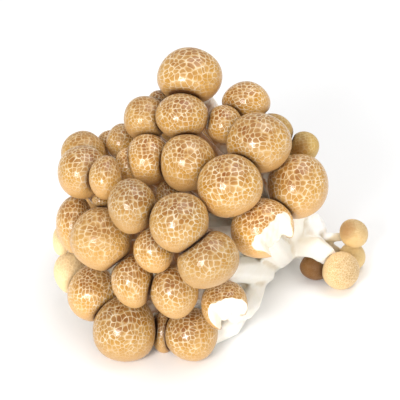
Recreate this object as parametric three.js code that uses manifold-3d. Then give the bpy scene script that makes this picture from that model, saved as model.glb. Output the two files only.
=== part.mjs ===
// A bunch of beech mushrooms as it lies on a table: brown domed caps, each on its own thick
// white stem, and all the stems grown together in one lumpy base with a knife-cut end.
// Millimetres, +Z up. The bunch lies with its caps towards -Y and its base at the right and back.
import * as THREE from 'three';
import { mergeVertices } from 'three/addons/utils/BufferGeometryUtils.js';
import Module from 'manifold-3d';

const wasm = await Module();
wasm.setup();

// ---- Driving dimensions ----
const gap = 0.3; // clear space kept between a cap and what it touches
const sliver = 0.24; // detail of the joined stems smaller than this is smoothed away
const faceSlope = 38; // degrees the face of caps is turned up from facing straight sideways
const backLift = 0.15; // how much the far caps' crowns are turned up

// A cap of unit radius, as fractions of that radius
const crownHeight = 0.92; // apex above the widest ring
const marginDrop = 0.5; // lowest edge of the margin below the widest ring
const marginWidth = 0.25; // how far the margin curls in under the cap
const lipWidth = 0.09; // the rolled edge's own thickness
const gillRing = 0.56; // ring halfway down the gills
const gillHeight = -0.27; // height of that ring
const gillRelief = 0.07; // how far each rib stands out of the gills, either way
const socketRadius = 0.46; // flat flesh in the middle of the underside, where the stem joins
const socketHeight = -0.2;

// A stem, as fractions of its cap's radius
const neckRadius = 0.4; // under the cap
const bellyRadius = 0.48; // halfway down
const rootRadius = 0.55; // at the swollen root
const stemInset = 0.12; // how deep the stem's end reaches into the flesh before it is trimmed
const linkRadius = 0.3; // what ties a root that stands apart to the middle of the base
const neckStraight = 0.6; // straight stretch under the cap of a stem that follows a path

// The bend of a stem that follows no path, as shares of its length
const rootLead = 0.35; // kept in the direction that the bunch grew
const neckLead = 0.35; // lies along the cap's own axis

// A torn cap has lost its crown and margin beyond a face that stands across one bearing
const tearTop = 0.75; // below this height the face slopes outwards
const tearEnds = [0.3, 0.65]; // aside of the middle, between these, it starts to slope more
const tearFlare = 0.08; // how much of its old overhang the broken part still has
const tearHem = 0.25; // how much of its old drop below the socket it still has

// The base that the stems grow out of
const baseCentre = new THREE.Vector3(38, 50, 13);
const growth = new THREE.Vector3(-0.6, -0.5, 0.6).normalize(); // the way the bunch grew
const baseSpread = 0.26; // a root's distance from the base's middle, over its cap's distance
const baseReach = 12; // furthest that a root stands from the middle of the base
const baseCore = 10; // radius of the solid lump in the middle
const footCentre = new THREE.Vector3(32, 49, 5); // lump that the base lies on
const footRadius = 8;
const footSquash = 0.8; // its height over its width
const knifeDepth = 9; // the knife cut's distance behind the middle of the base
const tableFlat = 0.86; // height of a stem's middle when it lies on the table, over its radius

// ---- The caps ----
// at: centre of the widest ring, as [across the face, up the face, out of the face].
// size: width and height that the cap shows on the face; turn: slant of that oval, in degrees.
// lean: how far the crown is turned to the right and upwards from facing straight out.
// stem: neck radius over the cap's radius, where it isn't the usual one.
// path: points in X, Y and Z that the stem's middle passes, from its root to below the cap.
// torn: the broken face's bearing, in degrees from straight right, its distance from the cap's
//   axis, how much it bends back at its sides, its slope, and its further slope at either end.
// egg: bearing towards which the cap narrows, and how much.
const faceCaps = [
  { name: 'cap_01', at: [1.9, 99.4, 1.5], size: [23.5, 20.5], turn: 0, lean: [-0.1, 0.35],
    egg: [80, 0.08] },
  { name: 'cap_02', at: [-1, 84, 9], size: [19, 17], turn: 0, lean: [-0.05, 0.3] },
  { name: 'cap_03', at: [-14.5, 84, 1.5], size: [15, 16], turn: 0, lean: [0.05, 0.45] },
  { name: 'cap_04', at: [-9, 90.5, -5.5], size: [9.5, 8.5], turn: 0, lean: [0.1, 0.4] },
  { name: 'cap_05', at: [-23, 76, -8], size: [11, 13], turn: 0, lean: [0.2, 0.4] },
  { name: 'cap_06', at: [-28, 76.5, -14], size: [8, 8.5], turn: 0, lean: [0.1, 0.4] },
  { name: 'cap_07', at: [-37, 71.5, -6], size: [16.5, 17], turn: 0, lean: [0.05, 0.5] },
  { name: 'cap_08', at: [-37.5, 64.5, 7], size: [15.5, 19], turn: -10, lean: [0.15, 0.45] },
  { name: 'cap_09', at: [-27.5, 62.5, 16], size: [11.5, 15.5], turn: 0, lean: [0.15, 0.5],
    egg: [80, 0.08] },
  { name: 'cap_10', at: [-21, 67.5, 0], size: [10, 12], turn: 0, lean: [0.1, 0.4] },
  { name: 'cap_11', at: [-13.5, 69, 8.5], size: [14, 18], turn: 0, lean: [0.15, 0.35] },
  { name: 'cap_12', at: [1, 67.5, 15], size: [19.5, 20.3], turn: 0, lean: [0, 0.4],
    egg: [250, 0.12] },
  { name: 'cap_13', at: [-18, 52.5, 25], size: [16.5, 19], turn: 0, lean: [0.1, 0.4],
    egg: [250, 0.06] },
  { name: 'cap_14', at: [-1.5, 47, 31], size: [20.5, 20.5], turn: 20, lean: [-0.05, 0.4] },
  { name: 'cap_15', at: [-6, 56.5, 10.5], size: [8.5, 10], turn: 0, lean: [0, 0.4] },
  { name: 'cap_16', at: [-39.5, 46, 1.5], size: [13.5, 21], turn: 0, lean: [0.1, 0.4] },
  { name: 'cap_17', at: [-29, 41, 14.5], size: [21.5, 22.5], turn: 10, lean: [0, 0.4],
    egg: [300, 0.06] },
  { name: 'cap_18', at: [-45, 40, -6], size: [6.5, 11], turn: 0, lean: [0.1, 0.4] },
  { name: 'cap_19', at: [-29.5, 54.5, 10], size: [6.5, 5.5], turn: 0, lean: [0.1, 0.4] },
  { name: 'cap_20', at: [-42.7, 28, -13], size: [12, 15.5], turn: 0, lean: [0.1, 0.5] },
  { name: 'cap_21', at: [-33.3, 21, -4], size: [19, 20.5], turn: 0, lean: [0.1, 0.45],
    egg: [110, 0.05] },
  { name: 'cap_22', at: [-21.5, 9, 4], size: [22.5, 23.7], turn: 0, lean: [-0.05, 0.4],
    egg: [80, 0.06] },
  { name: 'cap_23', at: [-18, 26.5, 15.5], size: [15, 19], turn: 10, lean: [-0.05, 0.4] },
  { name: 'cap_24', at: [-10.5, 37.5, 23], size: [14, 16], turn: 10, lean: [-0.1, 0.4] },
  { name: 'cap_25', at: [8, 34.5, 30], size: [21.5, 19], turn: 35, lean: [-0.15, 0.45],
    path: [[29, 36.5, 6.5], [20, 22, 20]] },
  { name: 'cap_26', at: [-3.5, 23, 17.5], size: [17, 19], turn: 15, lean: [-0.1, 0.4] },
  { name: 'cap_27', at: [2.4, 7, 4.5], size: [19, 19], turn: -20, lean: [-0.3, 0.25],
    egg: [60, 0.08],
    path: [[27, 37, 5], [20.5, 19.5, 4.5], [13, 4.5, 4.5]] },
  { name: 'cap_28', at: [-7.5, 7, -0.5], size: [9.5, 15], turn: 0, lean: [0, 0.4] },
  { name: 'cap_29', at: [14, 18, 15], size: [16.5, 17.5], turn: 20, lean: [-0.2, 0.45],
    torn: { bearing: 288, reach: 0.18, bend: 0, slope: 0.2, ends: [0.8, 0] },
    path: [[27.5, 38, 5], [25.2, 26.5, 5], [23.2, 16, 8], [18, 4.5, 14.5]] },
  { name: 'cap_30', at: [15.5, 59.5, 25], size: [22.5, 21.8], turn: 0, lean: [-0.15, 0.35],
    egg: [255, 0.07] },
  { name: 'cap_31', at: [26, 74.5, 16], size: [22.5, 21], turn: -20, lean: [-0.25, 0.3] },
  { name: 'cap_32', at: [40, 59.5, 9], size: [21.5, 23], turn: 0, lean: [-0.3, 0.3], stem: 0.35,
    path: [[40.5, 47.5, 10.5], [39.5, 43.5, 26]] },
  { name: 'cap_33', at: [22, 90.3, 0], size: [17.5, 14.2], turn: -10, lean: [-0.4, 0.2],
    egg: [190, 0.08] },
  { name: 'cap_34', at: [14, 81.5, 7], size: [13, 14], turn: 10, lean: [-0.2, 0.3] },
  { name: 'cap_35', at: [42.6, 73.8, -0.5], size: [11.5, 11.3], turn: 0, lean: [-0.4, 0.1] },
  { name: 'cap_36', at: [31.5, 78, -1], size: [15.5, 16], turn: 0, lean: [-0.2, 0.3] },
  { name: 'cap_37', at: [27, 45, 16], size: [22.5, 21], turn: 15, lean: [-0.2, 0.4],
    torn: { bearing: 315, reach: 0.43, bend: 0.5, slope: 0.1, ends: [0.9, 0.9] },
    path: [[35.5, 42.8, 10], [31, 29, 26]] },
  { name: 'cap_38', at: [58.5, 28, -24], size: [14.5, 14.5], turn: 0, lean: [0.4, -0.3], stem: 0.52,
    path: [[40, 46, 12], [50, 41.5, 14]] },
  { name: 'cap_39', at: [64, 42, -28], size: [11, 11], turn: 0, lean: [0.55, 0.35], stem: 0.3,
    path: [[42, 49, 13], [54, 48.5, 13.5]] },
  { name: 'cap_40', at: [64, 33, -34], size: [10.5, 11], turn: 0, lean: [0.55, 0.1], stem: 0.36,
    path: [[42, 48.5, 11.5], [54, 48.5, 9.5]] },
  { name: 'cap_41', at: [49.5, 29.3, -29.5], size: [12, 10.5], turn: 0, lean: [0.3, -0.2],
    stem: 0.3 },
];

// A stem that has snapped off short, from its root to the break
const snappedStem = {
  path: [[40, 48.5, 12.5], [46, 49.5, 16], [52.2, 50.5, 19.5]],
  radii: [6, 5.4, 4],
};

// The far side of the bunch. at: centre of the widest ring in the part's own X, Y and Z.
const backCaps = [
  { name: 'cap_42', at: [-32, 62, 9.2], size: 19 },
  { name: 'cap_43', at: [-12, 76, 10.2], size: 21 },
  { name: 'cap_44', at: [10, 84, 9.2], size: 19 },
  { name: 'cap_45', at: [-36, 58, 27], size: 17 },
  { name: 'cap_46', at: [-22, 74, 29], size: 19 },
  { name: 'cap_47', at: [0, 85, 28], size: 18 },
  { name: 'cap_48', at: [21, 83, 25], size: 17 },
  { name: 'cap_49', at: [35, 80, 8.2], size: 17 },
  { name: 'cap_50', at: [-8, 76, 46], size: 18 },
  { name: 'cap_51', at: [13, 79, 43], size: 16 },
  { name: 'cap_52', at: [31, 72, 42], size: 15 },
  { name: 'cap_53', at: [43, 75, 24], size: 17 },
];

// ---- Materials ----
const capSkin = new THREE.MeshStandardMaterial({ color: 0xb98a55, roughness: 0.35, metalness: 0 });
const stemFlesh = new THREE.MeshStandardMaterial({ color: 0xf3ecdc, roughness: 0.55, metalness: 0 });

// ---- Directions of the face ----
const slope = THREE.MathUtils.degToRad(faceSlope);
const acrossFace = new THREE.Vector3(1, 0, 0);
const upFace = new THREE.Vector3(0, Math.sin(slope), Math.cos(slope));
const outOfFace = new THREE.Vector3(0, -Math.cos(slope), Math.sin(slope));

function fromFace(across, up, out) {
  return new THREE.Vector3()
    .addScaledVector(acrossFace, across)
    .addScaledVector(upFace, up)
    .addScaledVector(outOfFace, out);
}

function toPlaces(rows) {
  return rows.map((row) => new THREE.Vector3(...row));
}

// ---- One cap ----

// Half-section of a cap of unit radius, from the apex over the crown, round the curled margin
// and the lip, and along the gills to the flat socket. rib is the ring's share of the relief.
function capSection(crownSteps, marginSteps) {
  const rings = [];
  for (let i = 1; i <= crownSteps; i += 1) {
    const angle = (i / crownSteps) * (Math.PI / 2);
    rings.push({ out: Math.sin(angle), height: crownHeight * Math.cos(angle), rib: 0 });
  }
  for (let i = 1; i <= marginSteps; i += 1) {
    const angle = (i / marginSteps) * (Math.PI / 2);
    rings.push({
      out: 1 - marginWidth * (1 - Math.cos(angle)),
      height: -marginDrop * Math.sin(angle),
      rib: 0,
    });
  }
  rings.push({ out: 1 - marginWidth - lipWidth, height: -marginDrop + lipWidth, rib: 0.3 });
  rings.push({ out: gillRing, height: gillHeight, rib: 1 });
  rings.push({ out: socketRadius, height: socketHeight, rib: 0 });
  return rings;
}

// Closed grid of a cap of unit radius about +Z, as vertices and triangles
function unitCap(sides, crownSteps, marginSteps) {
  const points = [new THREE.Vector3(0, 0, crownHeight)];
  const rings = capSection(crownSteps, marginSteps);
  for (const ring of rings) {
    for (let k = 0; k < sides; k += 1) {
      const angle = (k / sides) * 2 * Math.PI;
      const relief = ring.rib * gillRelief * (k % 2 === 0 ? 1 : -1);
      points.push(new THREE.Vector3(
        ring.out * Math.cos(angle),
        ring.out * Math.sin(angle),
        ring.height + relief,
      ));
    }
  }
  points.push(new THREE.Vector3(0, 0, socketHeight));
  const last = points.length - 1;
  const at = (ring, k) => 1 + ring * sides + (k % sides);
  const triangles = [];
  for (let k = 0; k < sides; k += 1) {
    triangles.push([0, at(0, k), at(0, k + 1)]);
    for (let ring = 1; ring < rings.length; ring += 1) {
      triangles.push([at(ring - 1, k), at(ring, k), at(ring, k + 1)]);
      triangles.push([at(ring - 1, k), at(ring, k + 1), at(ring - 1, k + 1)]);
    }
    triangles.push([last, at(rings.length - 1, k + 1), at(rings.length - 1, k)]);
  }
  return { points, triangles };
}

// The stretch that makes a unit cap span its width and height along the turned axes of the face
function ovalStretch(points, wideAxis, tallAxis, width, height) {
  const span = (axis) => {
    const reaches = points.map((point) => point.dot(axis));
    const low = Math.min(...reaches);
    const high = Math.max(...reaches);
    return { middle: (low + high) / 2, size: high - low };
  };
  const wide = span(wideAxis);
  const tall = span(tallAxis);
  return (point) => {
    const across = ((point.dot(wideAxis) - wide.middle) * width) / wide.size;
    const up = ((point.dot(tallAxis) - tall.middle) * height) / tall.size;
    const out = (point.dot(outOfFace) * (width + height)) / 4;
    point.set(0, 0, 0).addScaledVector(wideAxis, across).addScaledVector(tallAxis, up);
    point.addScaledVector(outOfFace, out);
  };
}

// Narrows a cap towards one bearing on the face, as an egg narrows to its end
function narrow(points, bearing, taper, radius) {
  const angle = THREE.MathUtils.degToRad(bearing);
  const way = fromFace(Math.cos(angle), Math.sin(angle), 0);
  for (const point of points) {
    const along = point.dot(way);
    const aside = point.clone().addScaledVector(way, -along);
    point.addScaledVector(aside, (-taper * along) / radius);
  }
}

// Draws what lies beyond the broken face back to it, and up to the socket's height
function tear(points, axis, { bearing, reach, bend, slope, ends }) {
  const angle = THREE.MathUtils.degToRad(bearing);
  const way = fromFace(Math.cos(angle), Math.sin(angle), 0).projectOnPlane(axis).normalize();
  const side = axis.clone().cross(way);
  for (const point of points) {
    const [out, aside, height] = [way, side, axis].map((direction) => point.dot(direction));
    const end = THREE.MathUtils.smoothstep(Math.abs(aside), ...tearEnds);
    const steepness = slope + ends[aside < 0 ? 0 : 1] * end;
    const face = reach - bend * aside * aside + steepness * Math.max(0, tearTop - height);
    if (out > face) {
      point.addScaledVector(way, (tearFlare - 1) * (out - face));
      point.addScaledVector(axis, (1 - tearHem) * Math.max(0, socketHeight - height));
    }
  }
}

function turnTo(points, axis) {
  const turn = new THREE.Quaternion().setFromUnitVectors(new THREE.Vector3(0, 0, 1), axis);
  for (const point of points) {
    point.applyQuaternion(turn);
  }
}

// Facets of a cap and of its stem
function stepsFor(radius) {
  if (radius > 8.4) {
    return { sides: 14, crown: 4, margin: 2, stemSides: 7, stemSteps: 5 };
  }
  if (radius > 6) {
    return { sides: 10, crown: 3, margin: 2, stemSides: 6, stemSteps: 5 };
  }
  return { sides: 8, crown: 3, margin: 1, stemSides: 5, stemSteps: 4 };
}

function makeFaceCap(row) {
  const [width, height] = row.size;
  const radius = (width + height) / 4;
  const steps = stepsFor(radius);
  const { points, triangles } = unitCap(steps.sides, steps.crown, steps.margin);
  const [right, upwards] = row.lean;
  const axis = fromFace(right, upwards, Math.sqrt(1 - right * right - upwards * upwards));
  const turn = THREE.MathUtils.degToRad(row.turn);
  const wideAxis = fromFace(Math.cos(turn), Math.sin(turn), 0);
  const tallAxis = fromFace(-Math.sin(turn), Math.cos(turn), 0);
  turnTo(points, axis);
  const stretch = ovalStretch(points, wideAxis, tallAxis, width, height);
  if (row.torn !== undefined) {
    tear(points, axis, row.torn);
  }
  points.forEach(stretch);
  if (row.egg !== undefined) {
    narrow(points, ...row.egg, radius);
  }
  const centre = fromFace(...row.at);
  points.forEach((point) => point.add(centre));
  const path = toPlaces(row.path ?? []);
  return { name: row.name, points, triangles, axis, radius, centre, path, neck: row.stem ?? neckRadius };
}

function makeBackCap(row) {
  const radius = row.size / 2;
  const steps = stepsFor(Math.min(radius, 8));
  const { points, triangles } = unitCap(steps.sides, steps.crown, steps.margin);
  const centre = new THREE.Vector3(...row.at);
  const axis = centre.clone().sub(baseCentre).normalize();
  axis.z += backLift;
  axis.normalize();
  turnTo(points, axis);
  points.forEach((point) => point.multiplyScalar(radius).add(centre));
  return { name: row.name, points, triangles, axis, radius, centre, path: [], neck: neckRadius };
}

// ---- Caps that press on each other and on the table ----

function reach(cap, way) {
  return Math.max(...cap.points.map((point) => point.clone().sub(cap.centre).dot(way)));
}

// Flat planes between caps that would overlap, halfway through the overlap, and the table
function pressedPlanes(caps) {
  const planes = new Map(caps.map((cap) => [cap, [
    { normal: new THREE.Vector3(0, 0, -1), limit: 0 },
  ]]));
  caps.forEach((first, index) => {
    for (const second of caps.slice(index + 1)) {
      const way = second.centre.clone().sub(first.centre);
      const distance = way.length();
      way.normalize();
      const back = way.clone().negate();
      const firstReach = reach(first, way);
      const secondReach = reach(second, back);
      const overlap = firstReach + secondReach + gap - distance;
      if (overlap > 0) {
        const middle = first.centre.dot(way) + firstReach + gap / 2 - overlap / 2;
        planes.get(first).push({ normal: way, limit: middle - gap / 2 });
        planes.get(second).push({ normal: back, limit: -middle - gap / 2 });
      }
    }
  });
  return planes;
}

// Moves every point onto the planes that it lies beyond, in turn, until it is inside them all
const pressingRounds = 40;

function press(cap, planes) {
  for (const point of cap.points) {
    for (let round = 0; round < pressingRounds; round += 1) {
      for (const { normal, limit } of planes) {
        const excess = point.dot(normal) - limit;
        if (excess > 0) {
          point.addScaledVector(normal, -excess);
        }
      }
    }
  }
}

// ---- Meshes and solids ----

function toGeometry(points, triangles) {
  const positions = new Float32Array(points.length * 3);
  points.forEach((point, index) => positions.set([point.x, point.y, point.z], index * 3));
  const geometry = new THREE.BufferGeometry();
  geometry.setAttribute('position', new THREE.BufferAttribute(positions, 3));
  geometry.setIndex(triangles.flat());
  return geometry;
}

function toSolid(geometry) {
  const bare = geometry.clone();
  bare.deleteAttribute('normal');
  bare.deleteAttribute('uv');
  const merged = mergeVertices(bare);
  return new wasm.Manifold(new wasm.Mesh({
    numProp: 3,
    vertProperties: new Float32Array(merged.attributes.position.array),
    triVerts: new Uint32Array(merged.index.array),
  }));
}

function fromSolid(solid) {
  const mesh = solid.getMesh();
  const geometry = new THREE.BufferGeometry();
  geometry.setAttribute('position', new THREE.BufferAttribute(mesh.vertProperties, 3));
  geometry.setIndex(Array.from(mesh.triVerts));
  return geometry;
}

// The cap swollen by the gap, which is what trims the stems
function swollen(cap) {
  const geometry = toGeometry(cap.points, cap.triangles);
  geometry.computeVertexNormals();
  const normals = geometry.attributes.normal;
  const points = cap.points.map((point, index) => (
    point.clone().addScaledVector(new THREE.Vector3().fromBufferAttribute(normals, index), gap)
  ));
  return toSolid(toGeometry(points, cap.triangles));
}

// ---- Stems ----

// A closed tube along a curve from root to neck, with a rounded root and a flat neck end
function stemTube(curve, radii, sides, steps) {
  const frames = curve.computeFrenetFrames(steps, false);
  const start = curve.getPointAt(0);
  const rings = [];
  rings.push({
    centre: start.clone().addScaledVector(frames.tangents[0], -radii[0] * Math.SQRT1_2),
    radius: radii[0] * Math.SQRT1_2,
    frame: 0,
  });
  for (let i = 0; i <= steps; i += 1) {
    const along = i / steps;
    const lower = THREE.MathUtils.lerp(radii[0], radii[1], Math.min(1, along * 2));
    const radius = along < 0.5 ? lower : THREE.MathUtils.lerp(radii[1], radii[2], along * 2 - 1);
    const centre = curve.getPointAt(along);
    centre.z = Math.max(centre.z, tableFlat * radius);
    rings.push({ centre, radius, frame: i });
  }
  const points = [start.clone().addScaledVector(frames.tangents[0], -radii[0])];
  for (const ring of rings) {
    for (let k = 0; k < sides; k += 1) {
      const angle = (k / sides) * 2 * Math.PI;
      points.push(ring.centre.clone()
        .addScaledVector(frames.normals[ring.frame], ring.radius * Math.cos(angle))
        .addScaledVector(frames.binormals[ring.frame], ring.radius * Math.sin(angle)));
    }
  }
  points.push(rings[rings.length - 1].centre);
  const last = points.length - 1;
  const at = (ring, k) => 1 + ring * sides + (k % sides);
  const triangles = [];
  for (let k = 0; k < sides; k += 1) {
    triangles.push([0, at(0, k + 1), at(0, k)]);
    for (let ring = 1; ring < rings.length; ring += 1) {
      triangles.push([at(ring - 1, k), at(ring - 1, k + 1), at(ring, k + 1)]);
      triangles.push([at(ring - 1, k), at(ring, k + 1), at(ring, k)]);
    }
    triangles.push([last, at(rings.length - 1, k), at(rings.length - 1, k + 1)]);
  }
  return toSolid(toGeometry(points, triangles));
}

// A root stands on the base as its cap stands on the bunch, only much closer together
function rootOf(cap) {
  const offset = cap.centre.clone().sub(baseCentre).projectOnPlane(growth);
  offset.multiplyScalar(baseSpread).clampLength(0, baseReach);
  return baseCentre.clone().add(offset);
}

function stemCurve(cap) {
  const neck = cap.centre.clone().addScaledVector(cap.axis, -stemInset * cap.radius);
  if (cap.path.length > 0) {
    const below = neck.clone().addScaledVector(cap.axis, -neckStraight * cap.radius);
    return new THREE.CatmullRomCurve3([...cap.path, below, neck], false, 'centripetal');
  }
  const root = rootOf(cap);
  const length = neck.distanceTo(root);
  const straight = neck.clone().sub(root).normalize();
  const away = straight.clone().addScaledVector(growth, Math.max(0, straight.dot(growth)));
  const lower = root.clone().addScaledVector(away.normalize(), rootLead * length);
  const upper = neck.clone().addScaledVector(cap.axis, -neckLead * length);
  const places = [root, lower, upper];
  places.forEach((place) => place.setZ(Math.max(place.z, tableFlat * bellyRadius * cap.radius)));
  return new THREE.CubicBezierCurve3(...places, neck);
}

function makeStem(cap) {
  const { stemSides, stemSteps } = stepsFor(cap.radius);
  const thickness = (cap.radius * cap.neck) / neckRadius;
  const radii = [rootRadius, bellyRadius, neckRadius].map((part) => part * thickness);
  return stemTube(stemCurve(cap), radii, stemSides, stemSteps);
}

// What joins a root that stands apart to the middle of the base
function makeLink(cap) {
  const radius = linkRadius * cap.radius;
  const curve = new THREE.LineCurve3(cap.path[0], baseCentre);
  return stemTube(curve, [radius, radius, radius], 6, 1);
}

// A block that lies wholly below a plane, to cut what reaches past it
function cutter(point, normal) {
  const size = 300;
  const block = new THREE.BoxGeometry(size, size, size);
  block.translate(0, 0, -size / 2);
  block.applyQuaternion(new THREE.Quaternion().setFromUnitVectors(new THREE.Vector3(0, 0, 1), normal));
  block.translate(point.x, point.y, point.z);
  return toSolid(block);
}

function addStems(body, caps) {
  let grown = body;
  for (const cap of caps) {
    grown = grown.add(makeStem(cap));
    if (cap.path.length > 0) {
      grown = grown.add(makeLink(cap));
    }
  }
  return grown;
}

function makeStemsAndBase(caps) {
  const cut = baseCentre.clone().addScaledVector(growth, -knifeDepth);
  const isAhead = (cap) => cap.centre.clone().sub(cut).dot(growth) > cap.radius;
  const core = new THREE.IcosahedronGeometry(baseCore, 2);
  core.translate(baseCentre.x, baseCentre.y, baseCentre.z);
  const foot = new THREE.IcosahedronGeometry(footRadius, 2);
  foot.scale(1, 1, footSquash);
  foot.translate(footCentre.x, footCentre.y, footCentre.z);
  const lumps = toSolid(core).add(toSolid(foot));
  let body = addStems(lumps, caps.filter(isAhead)).subtract(cutter(cut, growth));
  body = addStems(body, caps.filter((cap) => !isAhead(cap)));
  const snapped = new THREE.CatmullRomCurve3(toPlaces(snappedStem.path));
  body = body.add(stemTube(snapped, snappedStem.radii, 6, 2));
  body = body.subtract(cutter(new THREE.Vector3(0, 0, 0), new THREE.Vector3(0, 0, 1)));
  for (const cap of caps) {
    body = body.subtract(swollen(cap));
  }
  const pieces = body.simplify(sliver).decompose();
  pieces.sort((first, second) => second.volume() - first.volume());
  return fromSolid(pieces[0]);
}

// ---- The bunch ----

function addMesh(group, name, geometry, material) {
  const mesh = new THREE.Mesh(geometry, material);
  mesh.name = name;
  group.add(mesh);
}

const caps = [...faceCaps.map(makeFaceCap), ...backCaps.map(makeBackCap)];
const planes = pressedPlanes(caps);
caps.forEach((cap) => press(cap, planes.get(cap)));

const bunch = new THREE.Group();
addMesh(bunch, 'stems_and_base', makeStemsAndBase(caps), stemFlesh);
caps.forEach((cap) => addMesh(bunch, cap.name, toGeometry(cap.points, cap.triangles), capSkin));

// The origin is under the middle of the bunch, on the table
const box = new THREE.Box3().setFromObject(bunch);
const middle = box.getCenter(new THREE.Vector3());
bunch.position.set(-middle.x, -middle.y, -box.min.z);

export default bunch;
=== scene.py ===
# A bunch of beech mushrooms lying on a pale table: marbled brown caps, white stems, one cut base.
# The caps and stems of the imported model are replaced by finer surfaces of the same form. Seven
# caps are a little larger than there, or moved by a few millimetres, to close gaps.
import math

import bpy
import numpy as np
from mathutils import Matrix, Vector


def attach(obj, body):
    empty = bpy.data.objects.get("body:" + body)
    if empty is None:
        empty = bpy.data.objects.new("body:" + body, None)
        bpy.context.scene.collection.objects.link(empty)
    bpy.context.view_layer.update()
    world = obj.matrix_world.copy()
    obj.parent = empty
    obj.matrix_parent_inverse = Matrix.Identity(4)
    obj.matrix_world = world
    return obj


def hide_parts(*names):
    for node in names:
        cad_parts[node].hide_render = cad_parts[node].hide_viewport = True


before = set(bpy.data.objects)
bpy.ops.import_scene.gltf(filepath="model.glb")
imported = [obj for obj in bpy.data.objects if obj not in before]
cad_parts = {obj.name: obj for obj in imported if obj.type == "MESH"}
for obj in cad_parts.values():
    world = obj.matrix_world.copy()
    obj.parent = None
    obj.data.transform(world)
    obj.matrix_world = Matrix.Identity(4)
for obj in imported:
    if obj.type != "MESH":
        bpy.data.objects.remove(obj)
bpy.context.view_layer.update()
mm = 0.001
scene = bpy.context.scene
print("frame loaded,", len(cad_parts), "nodes")

# Places are counted from a point on the table under the front of the bunch, in millimetres.
# The model's origin is under the bunch's middle, so bunchShift is added to each of them.
bunchShift = np.array([-10.40, -40.76, 0.0])
cutBase = np.array([38, 50, 13])  # middle of the base that all the stems grow from

cameraSetup = {
    "target": (5.4, 33.7, 43.1),  # millimetres, before bunchShift
    "elevation": 38,  # degrees
    "distance": 480,  # millimetres
    "lens": 120,
    "sensor": 36,
    "nearest": 10,  # nothing closer than this is drawn, in millimetres
}


def makeCamera(setup):
    slope = math.radians(setup["elevation"])
    away = Vector((0, -math.cos(slope), math.sin(slope)))
    camera = bpy.data.objects.new("camera", bpy.data.cameras.new("camera"))
    camera.data.lens = setup["lens"]
    camera.data.sensor_width = setup["sensor"]
    camera.data.clip_start = setup["nearest"] * mm
    target = Vector(setup["target"]) + Vector(bunchShift)
    camera.location = (target + away * setup["distance"]) * mm
    camera.rotation_euler = (-away).to_track_quat("-Z", "Y").to_euler()
    scene.collection.objects.link(camera)
    scene.camera = camera


makeCamera(cameraSetup)

# Each lamp: place in millimetres from the middle of the bunch, side of the square, watts
lamps = {
    "keyLamp": {"at": (-250, -450, 350), "side": 190, "power": 2.4},
    "fillLamp": {"at": (220, -540, 80), "side": 600, "power": 1.25},
    "topLamp": {"at": (160, 120, 640), "side": 420, "power": 1.9},
}
lampTarget = (0, 0, 40)  # all three are turned to this place
skyStrength = 0.62


def makeLamps():
    for name, lamp in lamps.items():
        light = bpy.data.lights.new(name, "AREA")
        light.shape = "SQUARE"
        light.size = lamp["side"] * mm
        light.energy = lamp["power"]
        holder = bpy.data.objects.new(name, light)
        holder.location = Vector(lamp["at"]) * mm
        aim = Vector(lampTarget) - Vector(lamp["at"])
        holder.rotation_euler = aim.to_track_quat("-Z", "Y").to_euler()
        scene.collection.objects.link(holder)
    sky = bpy.data.worlds.new("sky")
    sky.use_nodes = True
    backdrop = sky.node_tree.nodes["Background"]
    backdrop.inputs["Color"].default_value = (1, 1, 1, 1)
    backdrop.inputs["Strength"].default_value = skyStrength
    scene.world = sky
    scene.view_settings.view_transform = "Standard"


makeLamps()


class Signal:
    # One output of a shader node. Sums and products of signals and numbers add Math nodes.
    def __init__(self, tree, socket):
        self.tree = tree
        self.socket = socket

    def maths(self, operation, *values):
        settings = {"operation": operation}
        return addNode(self.tree, "ShaderNodeMath", settings, dict(enumerate(values)))

    def __add__(self, other):
        return self.maths("ADD", self, other)

    def __radd__(self, other):
        return self.maths("ADD", other, self)

    def __sub__(self, other):
        return self.maths("SUBTRACT", self, other)

    def __rsub__(self, other):
        return self.maths("SUBTRACT", other, self)

    def __mul__(self, other):
        return self.maths("MULTIPLY", self, other)

    def __rmul__(self, other):
        return self.maths("MULTIPLY", other, self)

    def ramp(self, low, high):
        # 0 at low, 1 at high, smooth in between; low may be the greater one
        if low > high:
            return 1 - self.ramp(high, low)
        settings = {"interpolation_type": "SMOOTHSTEP"}
        return addNode(self.tree, "ShaderNodeMapRange", settings, {0: self, 1: low, 2: high})


def addNode(tree, kind, settings=None, values=None, output=0):
    # Adds a node, sets its settings first and then its sockets, and returns one output
    node = tree.nodes.new(kind)
    for name, value in (settings or {}).items():
        setattr(node, name, value)
    for name, value in (values or {}).items():
        socket = node.inputs[name]
        if isinstance(value, Signal):
            tree.links.new(value.socket, socket)
        else:
            socket.default_value = value
    return Signal(tree, node.outputs[output])


def addNoise(tree, vector, scale, detail, dimensions="2D", output=0):
    settings = {"noise_dimensions": dimensions}
    values = {"Vector": vector, "Scale": scale, "Detail": detail}
    return addNode(tree, "ShaderNodeTexNoise", settings, values, output)


def readLayer(tree, name):
    # The three numbers that each point of a mesh carries under this name
    layer = addNode(tree, "ShaderNodeAttribute", {"attribute_name": name}, output="Vector")
    return [addNode(tree, "ShaderNodeSeparateXYZ", None, {0: layer}, part) for part in range(3)]


def mixColour(tree, share, first, second):
    # first where share is 0, second where it is 1
    settings = {"data_type": "RGBA"}
    return addNode(tree, "ShaderNodeMix", settings, {0: share, 6: first, 7: second}, output=2)


def shade(red, green, blue):
    # A colour given as it looks on screen, 0 to 255, turned to linear light by the sRGB curve
    linear = []
    for part in (red, green, blue):
        value = part / 255
        linear.append(value / 12.92 if value <= 0.04045 else ((value + 0.055) / 1.055) ** 2.4)
    return (*linear, 1)


def newMaterial(name, constants):
    material = bpy.data.materials.new(name)
    material.use_nodes = True
    surface = material.node_tree.nodes["Principled BSDF"]
    for socket, value in constants.items():
        surface.inputs[socket].default_value = value
    return material, material.node_tree, surface


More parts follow.
